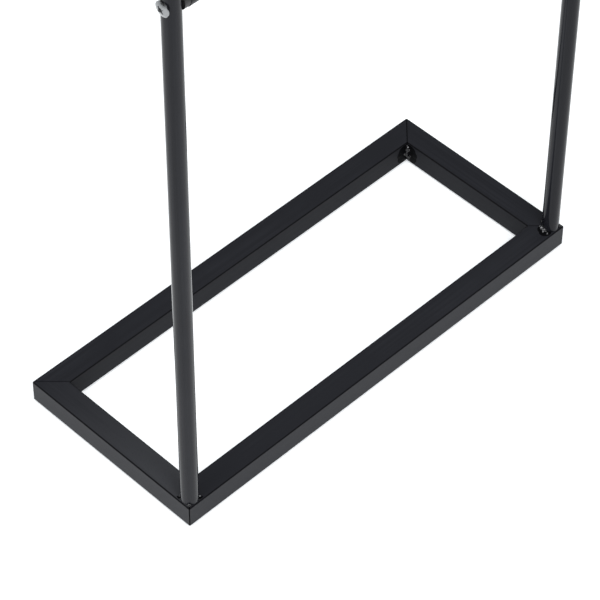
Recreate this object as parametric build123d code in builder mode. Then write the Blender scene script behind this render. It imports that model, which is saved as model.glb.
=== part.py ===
from build123d import *
import os
from math import cos, radians, sin, sqrt, tan

# Valet stand: a welded square-tube base, two round uprights welded on the front rail, two crossbars
# screwed between them, and a jacket hanger welded on the upper bar.
# Millimetres. +Z is up and +X runs along the long base rails. The origin is on the floor, under the
# middle of the base. The uprights stand on the -Y rail.

# ---------------------------------------------------------------- driving dimensions
# Base frame, square tube with mitred corners
base_length = 500.0
base_depth = 212.0
rail_size = 25.0
rail_wall = 1.2
rail_edge_radius = 1.5
rail_bore_radius = 0.3      # corner radius inside the tube, where the wall meets itself
mitre_gap = 1.0             # left open between two rails at a corner
mitre_land = 0.3            # knife edge that is filed off each mitre's tip

# Foot pads, stuck under the corners
pad_diameter = 20.0
pad_thickness = 2.0
pad_edge = 0.4

# Uprights
upright_diameter = 17.0
upright_wall = 1.2
upright_margin = 1.0        # between an upright's side and the base's outer faces
upright_above_bar = 24.0    # upright left over above the hanger bar's axis

# Crossbars
bar_diameter = 19.0
bar_wall = 1.2
trouser_bar_height = 618.0  # floor to the bar's axis
hanger_bar_height = 950.0

# Saddles between a bar's ends and the uprights
saddle_margin = 0.5         # its rim is this far inside the bar's
saddle_thickness = 4.0      # where it is thinnest
saddle_wing = 2.0           # how far it reaches round the upright

# M6 cross-recess screws and the threaded inserts in the bars' ends
screw_diameter = 6.0
screw_engagement = 14.0     # thread in the insert
screw_head_diameter = 14.5
screw_head_height = 2.8
screw_head_rim = 0.8
screw_hole_clearance = 0.3  # radial, in the uprights and saddles
thread_clearance = 0.02     # radial, screw in insert
screw_tip_chamfer = 0.8
recess_span = 7.6
recess_wing = 1.8
recess_depth = 2.0
recess_taper = 12.0         # degrees
recess_cone_diameter = 4.4
insert_length = 17.0
press_clearance = 0.02      # radial, inserts and plugs in tubes

# Jacket hanger, bent from one tube, on a post
hanger_diameter = 17.0
hanger_wall = 1.2
hanger_half_span = 215.0
hanger_slope = 19.0         # degrees, shoulders
hanger_drop_length = 48.0   # the ends that turn down
hanger_drop_slope = 38.0    # degrees
hanger_crown_radius = 120.0
hanger_shoulder_radius = 110.0
hanger_end_gap = 24.0       # between the hanger's lowest point and the hanger bar
post_diameter = 12.0
post_wall = 1.5

# Plugs that close the tubes' open ends
plug_dome = 3.2
plug_rim = 1.0
plug_depth = 14.0
plug_skirt_wall = 1.6

# Weld beads
corner_weld_leg = 10.0
corner_weld_crown = 1.5     # how far the bead's face stands out from flat
foot_weld_leg = 2.6
foot_weld_fullness = 0.6    # how far out its face's middle stands, as a share of its leg
post_weld_leg = 2.0
weld_edge_margin = 0.3      # a bead stops this far inside the rail's outer faces

# ---------------------------------------------------------------- derived places
rail_bottom = pad_thickness
rail_top = rail_bottom + rail_size
rail_middle = rail_bottom + rail_size / 2
upright_radius = upright_diameter / 2
upright_inset = upright_radius + upright_margin
upright_x = base_length / 2 - upright_inset
upright_y = upright_inset - base_depth / 2
upright_top = hanger_bar_height + upright_above_bar
bar_half_length = upright_x - upright_radius - saddle_thickness
saddle_diameter = bar_diameter - 2 * saddle_margin
screw_length = upright_diameter + saddle_thickness + screw_engagement
screw_hole_radius = screw_diameter / 2 + screw_hole_clearance
bar_heights = {"trouser_bar": trouser_bar_height, "hanger_bar": hanger_bar_height}
sides = {"left": -1, "right": 1}

# The hanger's outline, as corners of its centre line in the plane of the uprights
hanger_drop_run = hanger_drop_length * cos(radians(hanger_drop_slope))
hanger_drop_fall = hanger_drop_length * sin(radians(hanger_drop_slope))
hanger_shoulder_run = hanger_half_span - hanger_drop_run
hanger_tube_sag = hanger_diameter / 2 * cos(radians(hanger_drop_slope))
hanger_end_height = hanger_bar_height + bar_diameter / 2 + hanger_end_gap + hanger_tube_sag
hanger_shoulder_height = hanger_end_height + hanger_drop_fall
hanger_peak_height = hanger_shoulder_height + hanger_shoulder_run * tan(radians(hanger_slope))
hanger_crown_drop = hanger_crown_radius * (1 / cos(radians(hanger_slope)) - 1)
hanger_crown_height = hanger_peak_height - hanger_crown_drop
hanger_corners = [
    (-hanger_half_span, hanger_end_height),
    (-hanger_shoulder_run, hanger_shoulder_height),
    (0.0, hanger_peak_height),
    (hanger_shoulder_run, hanger_shoulder_height),
    (hanger_half_span, hanger_end_height),
]


def save(finished, name):
    """Label a finished piece and write its file."""
    finished.label = name
    export_step(finished, f"parts/{name}.step")


# ---------------------------------------------------------------- base frame
def rail_frame(number):
    """Plane at the middle of rail 0 to 3: x along it, y into the frame, z up."""
    along, inward = [
        (Vector(1, 0, 0), Vector(0, 1, 0)),
        (Vector(0, 1, 0), Vector(-1, 0, 0)),
        (Vector(-1, 0, 0), Vector(0, -1, 0)),
        (Vector(0, -1, 0), Vector(1, 0, 0)),
    ][number]
    depth = (base_depth, base_length)[number % 2]
    middle = inward * -(depth - rail_size) / 2 + Vector(0, 0, rail_middle)
    return Plane(origin=middle, x_dir=along, z_dir=(0, 0, 1))


def make_rail(number, name):
    """One mitred length of square tube."""
    half_length = (base_length, base_depth)[number % 2] / 2
    frame = rail_frame(number)
    section = Plane(origin=frame.origin, x_dir=frame.y_dir, z_dir=frame.x_dir)
    bore = rail_size - 2 * rail_wall
    with BuildPart() as rail:
        with BuildSketch(section):
            RectangleRounded(rail_size, rail_size, rail_edge_radius)
            RectangleRounded(bore, bore, rail_bore_radius, mode=Mode.SUBTRACT)
        extrude(amount=half_length - mitre_land, both=True)
        for end in (-1, 1):
            normal = (frame.x_dir * end + frame.y_dir).normalized()
            tip = frame.origin + frame.x_dir * end * half_length - frame.y_dir * rail_size / 2
            split(bisect_by=Plane(origin=tip - normal * mitre_gap / 2, z_dir=normal), keep=Keep.BOTTOM)
    save(rail.part, name)


def make_corner_weld(number, name):
    """The bead up the inside corner between rail `number` and the next one."""
    frame = rail_frame(number)
    half_length = (base_length, base_depth)[number % 2] / 2
    height = rail_size - 2 * rail_edge_radius
    corner = frame.origin + frame.x_dir * (half_length - rail_size) + frame.y_dir * rail_size / 2
    floor = Plane(origin=corner - Vector(0, 0, height / 2), x_dir=frame.x_dir, z_dir=(0, 0, 1))
    face_middle = corner_weld_leg / 2 + corner_weld_crown / sqrt(2)
    with BuildPart() as weld:
        with BuildSketch(floor):
            with BuildLine():
                Line((0, 0), (-corner_weld_leg, 0))
                ThreePointArc((-corner_weld_leg, 0), (-face_middle, face_middle), (0, corner_weld_leg))
                Line((0, corner_weld_leg), (0, 0))
            make_face()
        extrude(amount=height)
    save(weld.part, name)


def make_pad(name, x, y):
    """A rubber pad, stuck under the middle of a mitred corner."""
    with BuildPart() as pad:
        with BuildSketch(Plane((x, y, 0))):
            Circle(pad_diameter / 2)
        extrude(amount=pad_thickness)
        chamfer(pad.edges().group_by(Axis.Z)[0], length=pad_edge)
    save(pad.part, name)


# ---------------------------------------------------------------- uprights
def make_upright(side, name):
    """A round tube with a through hole for each crossbar's screw."""
    with BuildPart() as upright:
        with BuildSketch(Plane((side * upright_x, upright_y, rail_top))):
            Circle(upright_radius)
            Circle(upright_radius - upright_wall, mode=Mode.SUBTRACT)
        extrude(amount=upright_top - rail_top)
        for height in bar_heights.values():
            with BuildSketch(Plane(origin=(side * upright_x, upright_y, height), z_dir=(1, 0, 0))):
                Circle(screw_hole_radius)
            extrude(amount=upright_diameter, both=True, mode=Mode.SUBTRACT)
    save(upright.part, name)


def make_foot_weld(side, name):
    """The fillet bead round an upright's foot, stopped at the rail's outer faces."""
    foot = Vector(side * upright_x, upright_y, rail_top)
    reach = upright_radius + foot_weld_leg
    with BuildPart() as weld:
        with BuildSketch(Plane(origin=foot, x_dir=(1, 0, 0), z_dir=(0, -1, 0))):
            with BuildLine():
                Line((upright_radius, 0), (reach, 0))
                bulge = foot_weld_leg * foot_weld_fullness
                ThreePointArc((reach, 0), (upright_radius + bulge, bulge), (upright_radius, foot_weld_leg))
                Line((upright_radius, foot_weld_leg), (upright_radius, 0))
            make_face()
        revolve(axis=Axis(foot, (0, 0, 1)))
        with BuildSketch(Plane.XY.offset(rail_top)):
            Rectangle(base_length - 2 * weld_edge_margin, base_depth - 2 * weld_edge_margin)
        extrude(amount=foot_weld_leg, mode=Mode.INTERSECT)
    save(weld.part, name)


def make_plug(mouth, direction, tube_diameter, tube_wall, name):
    """A push-in plastic plug with a domed head, closing a tube's end at `mouth`."""
    outer = tube_diameter / 2
    skirt = outer - tube_wall - press_clearance
    across = Vector(0, 1, 0)
    with BuildPart() as plug:
        with BuildSketch(Plane(origin=mouth, x_dir=across, z_dir=across.cross(direction))):
            with BuildLine():
                TangentArc((0, plug_dome), (outer, plug_rim), tangent=(1, 0))
                Polyline(
                    (outer, plug_rim),
                    (outer, 0),
                    (skirt, 0),
                    (skirt, -plug_depth),
                    (skirt - plug_skirt_wall, -plug_depth),
                    (skirt - plug_skirt_wall, 0),
                    (0, 0),
                    (0, plug_dome),
                )
            make_face()
        revolve(axis=Axis(mouth, direction))
    save(plug.part, name)


# ---------------------------------------------------------------- crossbars and their hardware
def bar_envelope(height):
    """A crossbar's outside as a solid, to cope other pieces to."""
    with BuildPart() as envelope:
        with BuildSketch(Plane(origin=(0, upright_y, height), z_dir=(1, 0, 0))):
            Circle(bar_diameter / 2)
        extrude(amount=bar_half_length, both=True)
    return envelope.part


def make_bar(height, name):
    """A plain tube, cut square, between the two saddles."""
    with BuildPart() as bar:
        with BuildSketch(Plane(origin=(0, upright_y, height), z_dir=(1, 0, 0))):
            Circle(bar_diameter / 2)
            Circle(bar_diameter / 2 - bar_wall, mode=Mode.SUBTRACT)
        extrude(amount=bar_half_length, both=True)
    save(bar.part, name)


def make_saddle(side, height, name):
    """A plastic spacer, flat against the bar's end and hollowed to seat on the upright."""
    bar_end = Plane(origin=(side * bar_half_length, upright_y, height), z_dir=(side, 0, 0))
    with BuildPart() as saddle:
        with BuildSketch(bar_end):
            Circle(saddle_diameter / 2)
            Circle(screw_hole_radius, mode=Mode.SUBTRACT)
        extrude(amount=saddle_thickness + saddle_wing)
        with BuildSketch(Plane((side * upright_x, upright_y, height - saddle_diameter))):
            Circle(upright_radius)
        extrude(amount=2 * saddle_diameter, mode=Mode.SUBTRACT)
    save(saddle.part, name)


def make_insert(side, height, name):
    """A threaded steel insert, pressed flush into the bar's end."""
    bar_end = Plane(origin=(side * bar_half_length, upright_y, height), z_dir=(-side, 0, 0))
    with BuildPart() as insert:
        with BuildSketch(bar_end):
            Circle(bar_diameter / 2 - bar_wall - press_clearance)
            Circle(screw_diameter / 2 + thread_clearance, mode=Mode.SUBTRACT)
        extrude(amount=insert_length)
    save(insert.part, name)


def make_screws(height, name):
    """The two screws that clamp one crossbar between the uprights."""
    head_radius = screw_head_diameter / 2
    shank_radius = screw_diameter / 2
    with BuildPart() as screws:
        for side in sides.values():
            seat = Vector(side * (upright_x + upright_radius), upright_y, height)
            outward = Vector(side, 0, 0)
            across = Vector(0, 1, 0)
            with BuildSketch(Plane(origin=seat, x_dir=across, z_dir=across.cross(outward))):
                with BuildLine():
                    TangentArc((0, screw_head_height), (head_radius, screw_head_rim), tangent=(1, 0))
                    Polyline(
                        (head_radius, screw_head_rim),
                        (head_radius, 0),
                        (shank_radius, 0),
                        (shank_radius, screw_tip_chamfer - screw_length),
                        (shank_radius - screw_tip_chamfer, -screw_length),
                        (0, -screw_length),
                        (0, screw_head_height),
                    )
                make_face()
            revolve(axis=Axis(seat, outward))
            crown = Plane(origin=seat + outward * screw_head_height, z_dir=outward)
            with BuildSketch(crown):
                Rectangle(recess_span, recess_wing, rotation=45)
                Rectangle(recess_wing, recess_span, rotation=45)
            extrude(amount=-recess_depth, taper=recess_taper, mode=Mode.SUBTRACT)
            with BuildSketch(crown):
                Circle(recess_cone_diameter / 2)
            extrude(amount=-recess_depth, taper=recess_taper, mode=Mode.SUBTRACT)
    save(screws.part, name)


# ---------------------------------------------------------------- jacket hanger
def hanger_centre_line():
    """The hanger's bent centre line, in the plane of the uprights."""
    radii = [hanger_shoulder_radius, hanger_crown_radius, hanger_shoulder_radius]
    front = Plane(origin=(0, upright_y, 0), x_dir=(1, 0, 0), z_dir=(0, -1, 0))
    with BuildLine(front) as centre_line:
        FilletPolyline(*hanger_corners, radius=radii)
    return centre_line.wire()


def make_hanger_arms(name):
    """The shoulders, one bent tube. Returns the tube's outside as a solid, to cope other pieces to."""
    path = hanger_centre_line()
    start = Plane(origin=path @ 0, z_dir=path % 0)
    with BuildPart() as envelope:
        with BuildSketch(start):
            Circle(hanger_diameter / 2)
        sweep(path=path)
    with BuildPart() as arms:
        with BuildSketch(start):
            Circle(hanger_diameter / 2)
            Circle(hanger_diameter / 2 - hanger_wall, mode=Mode.SUBTRACT)
        sweep(path=path)
    save(arms.part, name)
    return envelope.part


def make_hanger_post(bar, shoulders, name):
    """The post between bar and shoulders, coped to both."""
    with BuildPart() as post:
        with BuildSketch(Plane((0, upright_y, hanger_bar_height))):
            Circle(post_diameter / 2)
            Circle(post_diameter / 2 - post_wall, mode=Mode.SUBTRACT)
        extrude(amount=hanger_crown_height - hanger_bar_height)
        add(bar, mode=Mode.SUBTRACT)
        add(shoulders, mode=Mode.SUBTRACT)
    save(post.part, name)


def make_post_weld(tube, axis_height, tube_diameter, up, name):
    """The bead round one end of the post: `up` is 1 over the bar and -1 under the shoulders."""
    tube_radius = tube_diameter / 2
    post_radius = post_diameter / 2
    high = tube_radius + post_weld_leg
    foot = Vector(0, upright_y, axis_height)
    with BuildPart() as weld:
        with BuildSketch(Plane(origin=foot, x_dir=(1, 0, 0), z_dir=(0, -up, 0))):
            with BuildLine():
                Polyline(
                    (post_radius, high),
                    (post_radius, 0),
                    (post_radius + post_weld_leg, 0),
                    (post_radius + post_weld_leg, tube_radius),
                )
                TangentArc(
                    (post_radius + post_weld_leg, tube_radius), (post_radius, high), tangent=(0, 1)
                )
            make_face()
        revolve(axis=Axis(foot, (0, 0, 1)))
        add(tube, mode=Mode.SUBTRACT)
    save(weld.part, name)


# ---------------------------------------------------------------- build everything
os.makedirs("parts", exist_ok=True)

for number, place in enumerate(("front", "right", "back", "left")):
    make_rail(number, f"base_rail_{place}")
for number, place in enumerate(("front_right", "back_right", "back_left", "front_left")):
    make_corner_weld(number, f"corner_weld_{place}")
for depth_name, depth_side in (("front", -1), ("back", 1)):
    for side_name, side in sides.items():
        make_pad(
            f"foot_pad_{depth_name}_{side_name}",
            side * (base_length - rail_size) / 2,
            depth_side * (base_depth - rail_size) / 2,
        )

for side_name, side in sides.items():
    make_upright(side, f"upright_{side_name}")
    make_foot_weld(side, f"upright_weld_{side_name}")
    top = Vector(side * upright_x, upright_y, upright_top)
    make_plug(top, Vector(0, 0, 1), upright_diameter, upright_wall, f"upright_cap_{side_name}")

for bar_name, height in bar_heights.items():
    make_bar(height, bar_name)
    make_screws(height, f"{bar_name}_screws")
    for side_name, side in sides.items():
        make_saddle(side, height, f"{bar_name}_saddle_{side_name}")
        make_insert(side, height, f"{bar_name}_insert_{side_name}")

bar = bar_envelope(hanger_bar_height)
shoulders = make_hanger_arms("hanger_arms")
make_hanger_post(bar, shoulders, "hanger_post")
make_post_weld(bar, hanger_bar_height, bar_diameter, 1, "post_weld_lower")
make_post_weld(shoulders, hanger_crown_height, hanger_diameter, -1, "post_weld_upper")
for side_name, side in sides.items():
    end = Vector(side * hanger_half_span, upright_y, hanger_end_height)
    down = Vector(side * cos(radians(hanger_drop_slope)), 0, -sin(radians(hanger_drop_slope)))
    make_plug(end, down, hanger_diameter, hanger_wall, f"hanger_cap_{side_name}")
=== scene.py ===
import random
from math import cos, hypot, radians, sin, sqrt

import bmesh
import bpy
from mathutils import Matrix, Vector, noise


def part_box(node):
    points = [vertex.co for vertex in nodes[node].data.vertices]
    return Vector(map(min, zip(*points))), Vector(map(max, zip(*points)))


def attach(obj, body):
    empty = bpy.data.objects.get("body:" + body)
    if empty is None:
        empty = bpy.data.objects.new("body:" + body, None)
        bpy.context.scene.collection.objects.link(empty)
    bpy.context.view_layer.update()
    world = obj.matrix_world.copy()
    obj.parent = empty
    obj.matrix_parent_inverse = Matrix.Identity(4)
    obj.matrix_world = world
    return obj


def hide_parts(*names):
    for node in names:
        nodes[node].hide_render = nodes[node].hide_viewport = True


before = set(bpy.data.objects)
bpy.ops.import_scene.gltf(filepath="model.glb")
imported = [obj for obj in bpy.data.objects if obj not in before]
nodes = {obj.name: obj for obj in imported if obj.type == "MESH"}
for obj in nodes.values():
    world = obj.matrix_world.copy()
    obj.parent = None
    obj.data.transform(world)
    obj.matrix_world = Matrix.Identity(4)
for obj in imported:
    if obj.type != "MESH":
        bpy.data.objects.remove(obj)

# Metres, in the model's own frame: +Z up, +X along the long base rails, the uprights on the -Y rail.
scene = bpy.context.scene
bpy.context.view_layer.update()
ROOT = "root"


# ------------------------------------------------------------------ places, read from the frame
def middle(node):
    """Centre of a node's box."""
    low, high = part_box(node)
    return (low + high) / 2


def width(node, axis):
    """A node's size along an axis, 0 to 2."""
    low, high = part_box(node)
    return high[axis] - low[axis]


rail_low, rail_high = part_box("base_rail_front")
rail_top = rail_high.z
rail_size = rail_high.z - rail_low.z
base_top_centre = Vector((0, 0, rail_top))
upright_radius = width("upright_left", 0) / 2

# ------------------------------------------------------------------ camera
CAMERA_AZIMUTH = radians(-44.942)
CAMERA_ELEVATION = radians(47.48)
CAMERA_ROLL = radians(0.263)
CAMERA_DISTANCE = 2.8609
CAMERA_AIM = base_top_centre + Vector((-0.00125, 0.00464, 0))
CAMERA_LENS = 180.9


def add_camera():
    """A long lens that looks down on the base, over its left front corner."""
    data = bpy.data.cameras.new("camera")
    data.lens = CAMERA_LENS
    data.sensor_width = 36.0
    data.clip_start = 0.05
    data.clip_end = 60.0
    camera = bpy.data.objects.new("camera", data)
    scene.collection.objects.link(camera)
    away = Vector((
        sin(CAMERA_AZIMUTH) * cos(CAMERA_ELEVATION),
        -cos(CAMERA_AZIMUTH) * cos(CAMERA_ELEVATION),
        sin(CAMERA_ELEVATION),
    ))
    turn = away.to_track_quat("Z", "Y").to_matrix() @ Matrix.Rotation(CAMERA_ROLL, 3, "Z")
    camera.matrix_world = Matrix.LocRotScale(CAMERA_AIM + away * CAMERA_DISTANCE, turn, None)
    scene.camera = camera


add_camera()


# ------------------------------------------------------------------ stage and light
def new_mesh_object(name, mesh):
    """Link a mesh into the scene as an object."""
    piece = bpy.data.objects.new(name, mesh)
    scene.collection.objects.link(piece)
    return piece


def add_floor(half, colour, glow):
    """A plain pale floor at the height that the pads rest on, as bright as a lit backdrop."""
    mesh = bpy.data.meshes.new("floor")
    corners = [(-half, -half, 0), (half, -half, 0), (half, half, 0), (-half, half, 0)]
    mesh.from_pydata(corners, [], [(0, 1, 2, 3)])
    floor = new_mesh_object("floor", mesh)
    material = bpy.data.materials.new("floor")
    material.use_nodes = True
    shader = material.node_tree.nodes["Principled BSDF"]
    shader.inputs["Base Color"].default_value = (*colour, 1)
    shader.inputs["Roughness"].default_value = 0.9
    shader.inputs["Specular IOR Level"].default_value = 0.2
    shader.inputs["Emission Color"].default_value = (0.93, 0.97, 1.0, 1)
    shader.inputs["Emission Strength"].default_value = glow
    mesh.materials.append(material)


def add_area_light(name, direction, distance, size, power):
    """A square softbox in `direction` from the base, turned to face it."""
    data = bpy.data.lights.new(name, "AREA")
    data.shape = "RECTANGLE"
    data.size = data.size_y = size
    data.energy = power
    light = bpy.data.objects.new(name, data)
    scene.collection.objects.link(light)
    turn = direction.to_track_quat("Z", "Y").to_matrix()
    light.matrix_world = Matrix.LocRotScale(base_top_centre + direction * distance, turn, None)


def ring_direction(turn, elevation):
    """Unit vector towards the studio, `turn` degrees to the right of the camera's own side."""
    bearing, rise = CAMERA_AZIMUTH + radians(turn), radians(elevation)
    return Vector((sin(bearing) * cos(rise), -cos(bearing) * cos(rise), sin(rise)))


def set_world(seen, low, high, low_rise, high_rise):
    """A plain backdrop as the camera sees it. What it lights gets a dome, `low` near the horizon
    and `high` overhead, changing between two heights on the unit sphere."""
    world = bpy.data.worlds.new("studio")
    scene.world = world
    world.use_nodes = True
    tree = world.node_tree
    background = tree.nodes["Background"]
    place = tree.nodes.new("ShaderNodeTexCoord")
    split = tree.nodes.new("ShaderNodeSeparateXYZ")
    dome = tree.nodes.new("ShaderNodeMapRange")
    dome.interpolation_type = "SMOOTHSTEP"
    limits = {"From Min": low_rise, "From Max": high_rise, "To Min": low, "To Max": high}
    for name, value in limits.items():
        dome.inputs[name].default_value = value
    path = tree.nodes.new("ShaderNodeLightPath")
    mix = tree.nodes.new("ShaderNodeMix")
    mix.inputs["B"].default_value = seen
    tree.links.new(place.outputs["Generated"], split.inputs["Vector"])
    tree.links.new(split.outputs["Z"], dome.inputs["Value"])
    tree.links.new(dome.outputs["Result"], mix.inputs["A"])
    tree.links.new(path.outputs["Is Camera Ray"], mix.inputs["Factor"])
    tree.links.new(mix.outputs["Result"], background.inputs["Strength"])
    background.inputs["Color"].default_value = (0.95, 0.98, 1.0, 1)


scene.view_settings.view_transform = "Standard"
set_world(seen=0.86, low=0.06, high=0.70, low_rise=0.35, high_rise=0.75)
add_floor(half=8.0, colour=(0.86, 0.86, 0.86), glow=0.45)
add_area_light("key", ring_direction(28, 45), 3.4, 1.2, 45)
add_area_light("fill", ring_direction(-42, 40), 3.4, 1.4, 30)
add_area_light("top", ring_direction(0, 70), 3.2, 1.6, 25)


# ------------------------------------------------------------------ materials
# Tones of one black coat, set with the lights above until the faces matched the photo's, so they are no
# measured paint: plain, streaked, lighter at the front end of the left rail's top, painted shade on the
# inner faces, painted dark reflection at the rounded edges, and on round tube.
COAT = (0.0142, 0.0147, 0.0183)
COAT_STREAK = (0.0188, 0.0195, 0.0238)
COAT_LIGHTER_FRONT = (0.0420, 0.0432, 0.0480)
COAT_INNER_SHADE = (0.0135, 0.0141, 0.0172)
PAINTED_EDGE_REFLECTION = (0.0015, 0.0015, 0.0022)
TUBE_COAT = (0.0080, 0.0084, 0.0110)


class Shader:
    """A material under construction: its node tree and its principled shader."""

    def __init__(self, name):
        self.material = bpy.data.materials.new(name)
        self.material.use_nodes = True
        self.tree = self.material.node_tree
        self.surface = self.tree.nodes["Principled BSDF"]
        coordinates = self.tree.nodes.new("ShaderNodeTexCoord").outputs
        self.place, self.normal = coordinates["Object"], coordinates["Normal"]

    def set(self, **values):
        """Plain values on the shader's own sockets, named with _ for spaces."""
        for name, value in values.items():
            self.surface.inputs[name.replace("_", " ")].default_value = value

    def link(self, output, name):
        """Drive one of the shader's sockets."""
        self.tree.links.new(output, self.surface.inputs[name])

    def split(self, vector):
        """A vector's three parts."""
        node = self.tree.nodes.new("ShaderNodeSeparateXYZ")
        self.tree.links.new(vector, node.inputs["Vector"])
        return node.outputs[:]

    def stretched(self, scale):
        """The object's own coordinates, scaled by axis."""
        node = self.tree.nodes.new("ShaderNodeMapping")
        node.inputs["Scale"].default_value = scale
        self.tree.links.new(self.place, node.inputs["Vector"])
        return node.outputs["Vector"]

    def noise(self, per_metre, detail=2.0, roughness=0.5, vector=None):
        """Fractal noise with about that many features to the metre."""
        node = self.tree.nodes.new("ShaderNodeTexNoise")
        node.inputs["Scale"].default_value = per_metre
        node.inputs["Detail"].default_value = detail
        node.inputs["Roughness"].default_value = roughness
        self.tree.links.new(vector or self.place, node.inputs["Vector"])
        return node.outputs["Fac"]

    def cells(self, per_metre):
        """Distance to the nearest of scattered points."""
        node = self.tree.nodes.new("ShaderNodeTexVoronoi")
        node.inputs["Scale"].default_value = per_metre
        self.tree.links.new(self.place, node.inputs["Vector"])
        return node.outputs["Distance"]

    def spread(self, value, low, high, to_low=0.0, to_high=1.0):
        """Map a range of values to another, clamped."""
        node = self.tree.nodes.new("ShaderNodeMapRange")
        self.tree.links.new(value, node.inputs["Value"])
        limits = {"From Min": low, "From Max": high, "To Min": to_low, "To Max": to_high}
        for name, number in limits.items():
            node.inputs[name].default_value = number
        return node.outputs["Result"]

    def math(self, operation, a, b):
        """One sum on two values, each an output or a number."""
        node = self.tree.nodes.new("ShaderNodeMath")
        node.operation = operation
        for socket, value in zip(node.inputs, (a, b)):
            if isinstance(value, (int, float)):
                socket.default_value = value
            else:
                self.tree.links.new(value, socket)
        return node.outputs["Value"]

    def blend(self, factor, first, second):
        """Mix two colours, each an output or three numbers."""
        node = self.tree.nodes.new("ShaderNodeMix")
        node.data_type = "RGBA"
        self.tree.links.new(factor, node.inputs["Factor"])
        for name, value in (("A", first), ("B", second)):
            if isinstance(value, tuple):
                node.inputs[name].default_value = (*value, 1)
            else:
                self.tree.links.new(value, node.inputs[name])
        return node.outputs["Result"]

    def bump(self, height, depth, strength=1.0, under=None):
        """A height in metres laid on the surface, over another bump if given."""
        node = self.tree.nodes.new("ShaderNodeBump")
        node.inputs["Distance"].default_value = depth
        node.inputs["Strength"].default_value = strength
        self.tree.links.new(height, node.inputs["Height"])
        if under is not None:
            self.tree.links.new(under, node.inputs["Normal"])
        return node.outputs["Normal"]


def powder_coat(name, along, lighter_front=False):
    """Satin black powder coat on square tube: a fine grain and streaks `along` an axis. Painted dark
    reflection runs along the rounded edges, and the faces that look in at the middle of the base have
    painted shade and a duller finish. A flag lightens the front end of the top face."""
    s = Shader(name)
    fine = [5.0 if axis == along else 320.0 for axis in range(3)]
    broad = [3.0 if axis == along else 95.0 for axis in range(3)]
    streak = s.noise(1.0, detail=3, vector=s.stretched(fine))
    band = s.noise(1.0, detail=2, vector=s.stretched(broad))
    patch = s.noise(14.0, detail=3)
    facing, up = s.split(s.normal)[1 - along], s.split(s.normal)[2]
    mottle = s.math("MULTIPLY", s.spread(streak, 0.40, 0.66), s.spread(patch, 0.36, 0.66))
    tone = s.blend(mottle, COAT, COAT_STREAK)
    # The front end of the left rail's top face is lighter, in streaks.
    if lighter_front:
        top = s.spread(up, 0.90, 0.99)
        way = s.spread(s.split(s.place)[1], 0.100, -0.060)
        paler = s.math("MULTIPLY", s.math("MULTIPLY", top, way), s.spread(band, 0.28, 0.52, 0.55, 1.0))
        tone = s.blend(paler, tone, COAT_LIGHTER_FRONT)
    speck = s.spread(s.noise(900.0, detail=1), 0.60, 0.72, 0.0, 0.3)
    tone = s.blend(speck, tone, COAT_STREAK)
    # Painted shade: the faces that look in at the middle of the base are darker; they are also rougher.
    inward = s.spread(s.math("MULTIPLY", facing, s.split(s.place)[1 - along]), -0.02, -0.06)
    tone = s.blend(inward, tone, COAT_INNER_SHADE)
    # Painted dark reflection along the rounded edges, between the level and upright faces.
    steep = s.spread(s.math("ABSOLUTE", up, 0.0), 0.10, 0.35)
    level = s.spread(s.math("ABSOLUTE", up, 0.0), 0.97, 0.80)
    tone = s.blend(s.math("MULTIPLY", steep, level), tone, PAINTED_EDGE_REFLECTION)
    s.link(tone, "Base Color")
    gloss = s.spread(s.math("ADD", patch, streak), 0.75, 1.25, 0.33, 0.39)
    s.link(s.math("ADD", gloss, s.math("MULTIPLY", inward, 0.26)), "Roughness")
    peel = s.bump(s.noise(420.0, detail=2), 0.00004)
    s.link(s.bump(s.cells(1500.0), 0.000018, under=peel), "Normal")
    s.set(Specular_IOR_Level=0.09)
    return s.material


def tube_coat(name, along):
    """The same coat on round tube, where it flows out glossier, with faint drawing lines `along` it."""
    s = Shader(name)
    lines = [2.0 if axis == along else 260.0 for axis in range(3)]
    drawn = s.noise(1.0, detail=3, vector=s.stretched(lines))
    patch = s.noise(18.0, detail=3)
    mottle = s.math("MULTIPLY", s.spread(drawn, 0.40, 0.62), s.spread(patch, 0.30, 0.62, 0.4, 1.0))
    s.link(s.blend(mottle, TUBE_COAT, COAT), "Base Color")
    s.link(s.spread(s.math("ADD", patch, drawn), 0.75, 1.25, 0.06, 0.10), "Roughness")
    peel = s.bump(s.noise(380.0, detail=2), 0.00002)
    s.link(s.bump(drawn, 0.00006, under=peel), "Normal")
    s.set(Specular_IOR_Level=0.15)
    return s.material


def pooled_coat(name):
    """The same coat where it has run over a weld bead: glossier, darker and wrinkled. The pale flecks
    on the upward crowns are painted highlights standing for glints."""
    s = Shader(name)
    patch = s.noise(260.0, detail=3)
    paint = s.blend(patch, (0.0030, 0.0031, 0.0038), (0.008, 0.008, 0.0095))
    # Painted highlights: pale flecks on the upward crowns, as glints.
    glint_fleck = s.spread(s.noise(650.0, detail=2), 0.50, 0.58)
    painted_glint = s.math("MULTIPLY", s.spread(s.split(s.normal)[2], 0.70, 0.92), glint_fleck)
    s.link(s.blend(painted_glint, paint, (0.34, 0.34, 0.35)), "Base Color")
    s.link(s.spread(patch, 0.35, 0.65, 0.05, 0.13), "Roughness")
    s.link(s.bump(s.noise(700.0, detail=3), 0.00012), "Normal")
    s.set(Specular_IOR_Level=0.4)
    return s.material


def matt_black_coat(name):
    """Matt black with almost no sheen, for thin rounds by the welds and, as painted shade, for the webs
    in the open mitres.
    """
    s = Shader(name)
    patch = s.noise(240.0, detail=4)
    s.link(s.blend(patch, (0.0014, 0.0015, 0.0018), (0.0046, 0.0048, 0.0056)), "Base Color")
    s.link(s.spread(patch, 0.3, 0.7, 0.35, 0.55), "Roughness")
    s.link(s.bump(s.noise(900.0, detail=3), 0.00008), "Normal")
    s.set(Specular_IOR_Level=0.02)
    return s.material


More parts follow.
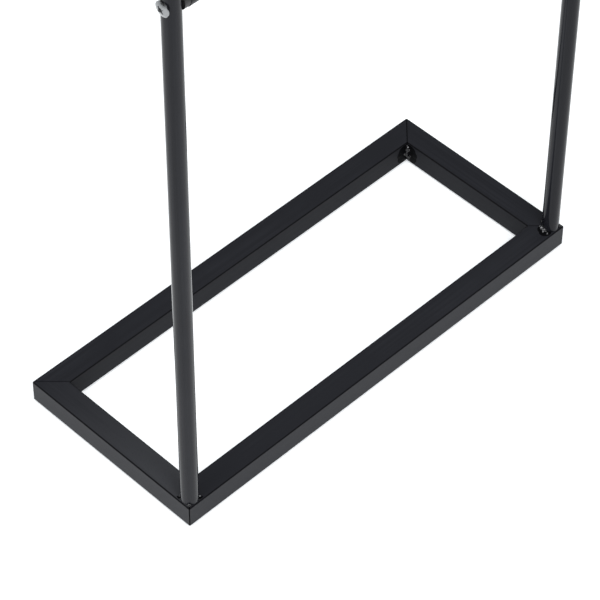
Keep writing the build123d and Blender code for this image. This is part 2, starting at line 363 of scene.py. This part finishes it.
def zinc(name):
    """Bright zinc plate over a cold-headed steel screw."""
    s = Shader(name)
    cloud = s.noise(350.0, detail=4, roughness=0.6)
    s.link(s.blend(cloud, (0.19, 0.195, 0.20), (0.33, 0.335, 0.34)), "Base Color")
    s.link(s.spread(cloud, 0.3, 0.7, 0.12, 0.22), "Roughness")
    s.link(s.bump(s.noise(1800.0, detail=3), 0.00002), "Normal")
    s.set(Metallic=1.0)
    return s.material


def turned_steel(name):
    """Plain machined steel of the inserts."""
    s = Shader(name)
    rings = s.noise(1.0, detail=2, vector=s.stretched([2600.0, 30.0, 30.0]))
    s.link(s.blend(rings, (0.40, 0.40, 0.41), (0.56, 0.56, 0.57)), "Base Color")
    s.link(s.spread(rings, 0.3, 0.7, 0.28, 0.45), "Roughness")
    s.link(s.bump(rings, 0.00002), "Normal")
    s.set(Metallic=1.0)
    return s.material


def moulded(name, coat, paler, rough, grain_per_metre):
    """A moulded black part with a fine spark texture."""
    s = Shader(name)
    patch = s.noise(70.0, detail=3)
    s.link(s.blend(s.spread(patch, 0.35, 0.7), coat, paler), "Base Color")
    s.link(s.spread(patch, 0.3, 0.7, rough, rough + 0.12), "Roughness")
    s.link(s.bump(s.noise(grain_per_metre, detail=2), 0.00005), "Normal")
    return s.material


def dress(node, material):
    """Give a CAD node its finish."""
    nodes[node].data.materials.clear()
    nodes[node].data.materials.append(material)


rail_coats = [powder_coat("rail_coat_x", 0), powder_coat("rail_coat_y", 1)]
tube_coats = {"x": tube_coat("tube_coat_x", 0), "z": tube_coat("tube_coat_z", 2)}
front_lighter_coat = powder_coat("rail_coat_lighter_front", 1, lighter_front=True)
weld_coat = pooled_coat("weld_coat")
weld_scorch = matt_black_coat("weld_scorch")
screw_zinc = zinc("screw_zinc")
insert_steel = turned_steel("insert_steel")
black_plastic = moulded("black_plastic", (0.010, 0.010, 0.011), (0.018, 0.018, 0.019), 0.42, 1600.0)
pad_rubber = moulded("pad_rubber", (0.012, 0.012, 0.012), (0.022, 0.022, 0.021), 0.70, 900.0)

for node in nodes:
    if node == "base_rail_left":
        dress(node, front_lighter_coat)
    elif "rail" in node:
        dress(node, rail_coats[0 if width(node, 0) > width(node, 1) else 1])
    elif "pad" in node:
        dress(node, pad_rubber)
    elif "screws" in node:
        dress(node, screw_zinc)
    elif "insert" in node:
        dress(node, insert_steel)
    elif "saddle" in node or "cap" in node:
        dress(node, black_plastic)
    elif "weld" in node:
        dress(node, weld_coat)
    elif node in ("trouser_bar", "hanger_bar", "hanger_arms"):
        dress(node, tube_coats["x"])
    else:
        dress(node, tube_coats["z"])

# ------------------------------------------------------------------ weld beads
BEAD_VOXEL = 0.00032
EDGE_CLEARANCE = 0.0007      # from a drop to the base's outer faces
LEAST_DROP = 0.0010
TACK_STEP = 11               # degrees between the drops of a tack
TACK_REACH = 0.42            # a drop's centre stands off the tube by this share of its radius
TACK_LIFT = 0.35             # and above the rail by this share
PUDDLE_HEIGHT = 0.0006
CORNER_ROWS = 9
CORNER_RADIUS = 0.0024
SPATTER_DROPS = 26
SPATTER_REACH = 0.0115
BLACK_ROUND_SPOTS = (            # distance from the corner, height from its middle, radius
    (0.002, 0.001, 0.0098),
    (0.005, 0.004, 0.0072),
    (0.006, -0.004, 0.0072),
    (0.009, 0.001, 0.0050),
)
SEAM_THICKNESS = 0.0009
SEAM_SINK = 0.0005           # from a web's rim to the faces beside it
SEAM_STEP = 0.0008           # between points along its rim
BASE_HALF = (width("base_rail_front", 0) / 2, width("base_rail_left", 1) / 2)
rng = random.Random(7)


def melt(name, drops, stands_for=None, coat=weld_coat):
    """One bead from overlapping drops of metal, given as (centre, half sizes), run together."""
    bm = bmesh.new()
    for centre, half in drops:
        bmesh.ops.create_icosphere(
            bm, subdivisions=3, radius=1, matrix=Matrix.LocRotScale(centre, None, half))
    mesh = bpy.data.meshes.new(name)
    bm.to_mesh(mesh)
    bm.free()
    bead = new_mesh_object(name, mesh)
    fuse = bead.modifiers.new("fuse", "REMESH")
    fuse.mode = "VOXEL"
    fuse.voxel_size = BEAD_VOXEL
    relax = bead.modifiers.new("relax", "SMOOTH")
    relax.factor, relax.iterations = 0.5, 4
    settled = bpy.data.meshes.new_from_object(bead.evaluated_get(bpy.context.evaluated_depsgraph_get()))
    bead.modifiers.clear()
    bead.data = settled
    for vertex in settled.vertices:
        ripple = noise.noise(vertex.co * 900) * 0.00016 + noise.noise(vertex.co * 2300) * 0.00006
        vertex.co += vertex.normal * ripple
    settled.shade_smooth()
    settled.materials.append(coat)
    if stands_for:
        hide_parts(stands_for)
    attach(bead, ROOT)
    return bead


def drop_on_base(centre, size, height):
    """A drop as (centre, half sizes), moved and squeezed so that it stays off the outer faces."""
    half = Vector((size, size, height))
    for axis in range(2):
        limit = BASE_HALF[axis] - EDGE_CLEARANCE
        reach = limit - LEAST_DROP
        centre[axis] = max(-reach, min(reach, centre[axis]))
        half[axis] = min(size, limit - abs(centre[axis]))
    return centre, half


def tack(axis, bearing, spread, size, stray=0.0):
    """Drops of one tack weld at a round tube's foot, centred on a bearing in degrees and `stray`
    away from the tube."""
    drops = []
    count = max(2, round(spread / TACK_STEP))
    for step in range(count):
        turn = radians(bearing + spread * (step / (count - 1) - 0.5))
        taper = 1 - 0.25 * abs(2 * step / (count - 1) - 1)
        radius = size * rng.uniform(0.82, 1.12) * taper
        reach = upright_radius + radius * TACK_REACH + stray
        height = rail_top + radius * TACK_LIFT
        centre = Vector((axis.x + cos(turn) * reach, axis.y + sin(turn) * reach, height))
        drops.append(drop_on_base(centre, radius, radius * rng.uniform(0.78, 0.95)))
    return drops


def puddle(axis, bearing, away, size):
    """A thin round of matt black on the rail's top, beside a tack weld."""
    turn = radians(bearing)
    centre = Vector((axis.x + cos(turn) * away, axis.y + sin(turn) * away, rail_top))
    return drop_on_base(centre, size, PUDDLE_HEIGHT)


left_foot, right_foot = middle("upright_left"), middle("upright_right")
melt("foot_bead_left", [
    *tack(left_foot, 140, 26, 0.0017),
    *tack(left_foot, 225, 22, 0.0026, stray=0.0020),
    *tack(left_foot, 310, 26, 0.0019),
    *tack(left_foot, 45, 44, 0.0023),
], "upright_weld_left")
melt("foot_bead_right", [
    *tack(right_foot, 172, 44, 0.0026),
    *tack(right_foot, 196, 24, 0.0018, stray=0.0028),
    *tack(right_foot, 322, 24, 0.0017),
    *tack(right_foot, 70, 60, 0.0024),
], "upright_weld_right")
# Thin rounds of matt black on the rail's top beside the tack welds.
melt("foot_black_left", [
    puddle(left_foot, 140, 0.0105, 0.0030),
    puddle(left_foot, 225, 0.0085, 0.0052),
    puddle(left_foot, 310, 0.0105, 0.0034),
], coat=weld_scorch)
melt("foot_black_right", [
    puddle(right_foot, 165, 0.0095, 0.0048),
    puddle(right_foot, 190, 0.0105, 0.0056),
    puddle(right_foot, 212, 0.0110, 0.0042),
], coat=weld_scorch)


def upright_run(low, high, corner, inward):
    """Drops of the bead that stands in an inside corner, thickest at its middle."""
    drops = []
    for row in range(CORNER_ROWS):
        share = row / (CORNER_ROWS - 1)
        height = low.z + (high.z - low.z) * (0.12 + 0.76 * share)
        radius = CORNER_RADIUS * (1 - 0.45 * abs(2 * share - 1) ** 2) * rng.uniform(0.88, 1.08)
        sway = Vector((rng.uniform(-1, 1), rng.uniform(-1, 1), 0)) * 0.0004
        spot = corner + inward * radius * 0.55 + sway + Vector((0, 0, height))
        drops.append((spot, Vector((radius, radius, radius * 0.62))))
    return drops


def spatter(sprawl, centre, corner, inward):
    """Small drops thrown out along both faces of an inside corner."""
    drops = []
    for _ in range(round(SPATTER_DROPS * sprawl)):
        along = rng.random() ** 1.4 * SPATTER_REACH * sprawl
        side = Vector((inward.x, 0, 0)) if rng.random() < 0.5 else Vector((0, inward.y, 0))
        rise = rng.uniform(-1, 1) * (0.0095 - along * 0.45)
        radius = rng.uniform(0.0012, 0.0024) * (1 - along / 0.0200)
        out = inward - side
        spot = corner + side * along + out * radius * 0.25 + Vector((0, 0, centre.z + rise))
        drops.append((spot, Vector((radius, radius, radius * 0.8))))
    return drops


def corner_black_rounds(centre, corner, inward):
    """Thin rounds of matt black on both faces of an inside corner."""
    marks = []
    for side in (Vector((inward.x, 0, 0)), Vector((0, inward.y, 0))):
        for away, rise, size in BLACK_ROUND_SPOTS:
            spot = corner + side * away + Vector((0, 0, centre.z + rise))
            half = [PUDDLE_HEIGHT if part == 0 else size for part in (side.x, side.y, 1)]
            marks.append((spot, Vector(half)))
    return marks


def seam_rim(recess):
    """Points round a seam web, as (distance out along the mitre, height). The web lies `recess`
    inside the base's outer corner, and comes forward at the bottom, where the floor would show."""
    near, tip = -SEAM_SINK, -rail_size * sqrt(2)
    low, high = rail_low.z + SEAM_SINK, rail_high.z - SEAM_SINK
    corners = [
        (near, low),
        (tip + SEAM_SINK, low),
        (tip + recess, low + recess * 1.2),
        (tip + recess, high),
        (near, high),
    ]
    rim = []
    for (x0, z0), (x1, z1) in zip(corners, corners[1:] + corners[:1]):
        steps = round(hypot(x1 - x0, z1 - z0) / SEAM_STEP)
        rim += [(x0 + (x1 - x0) * i / steps, z0 + (z1 - z0) * i / steps) for i in range(steps)]
    return rim


def seam_fill(name, corner, inward, recess, coat):
    """The weld's root in the open mitre beside a corner bead: a thin web with a wavy rim. In the matt
    black coat it is painted shade in the gap.
    """
    across = Vector((inward.x, inward.y, 0)).normalized()
    side = Vector((-across.y, across.x, 0)) * SEAM_THICKNESS / 2
    heart = corner - across * rail_size * sqrt(2) / 2 + Vector((0, 0, (rail_low.z + rail_high.z) / 2))
    rim = seam_rim(recess)
    bm = bmesh.new()
    loops = []
    for hand in (-1, 1):
        loop = []
        for x, z in rim:
            spot = corner + across * x + side * hand + Vector((0, 0, z))
            pull = 1 - 0.012 * (1 + noise.noise(spot * 700))
            flat = heart + side * hand
            loop.append(bm.verts.new(flat + (spot - flat) * pull))
        loops.append(loop)
        bm.faces.new(loop if hand > 0 else loop[::-1])
    for i in range(len(rim)):
        j = (i + 1) % len(rim)
        bm.faces.new((loops[0][i], loops[0][j], loops[1][j], loops[1][i]))
    bmesh.ops.recalc_face_normals(bm, faces=bm.faces)
    mesh = bpy.data.meshes.new(name)
    bm.to_mesh(mesh)
    bm.free()
    mesh.materials.append(coat)
    web = new_mesh_object(name, mesh)
    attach(web, ROOT)


def corner_bead(name, node, sprawl=0.0, scorch=False, dark=False, recess=0.0009):
    """A short upright run of weld in an inside corner; `sprawl` spatters it out along both faces, a
    flag lays thin matt black rounds on them, and the open mitre behind it is filled with a web: matt
    black, as painted shade in the gap, when `dark`, and otherwise in the rail coat."""
    low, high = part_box(node)
    centre = (low + high) / 2
    inward = Vector((-1 if centre.x > 0 else 1, -1 if centre.y > 0 else 1, 0))
    corner = Vector((high.x if centre.x > 0 else low.x, high.y if centre.y > 0 else low.y, 0))
    drops = upright_run(low, high, corner, inward)
    drops += spatter(sprawl, centre, corner, inward)
    melt(name, drops, node)
    # Thin rounds of matt black on both faces of the corner.
    if scorch:
        melt(f"{name}_scorch", corner_black_rounds(centre, corner, inward), coat=weld_scorch)
    # Where dark is set, the web is matt black: painted shade in the open mitre.
    seam_fill(f"{name}_seam", corner, inward, recess, weld_scorch if dark else rail_coats[0])


# The back right and front left webs are painted shade in their open mitres.
corner_bead("corner_bead_back_right", "corner_weld_back_right", sprawl=0.45, scorch=True, dark=True)
corner_bead("corner_bead_front_left", "corner_weld_front_left", dark=True, recess=0.0060)
for place in ("front_right", "back_left"):
    corner_bead(f"corner_bead_{place}", f"corner_weld_{place}")
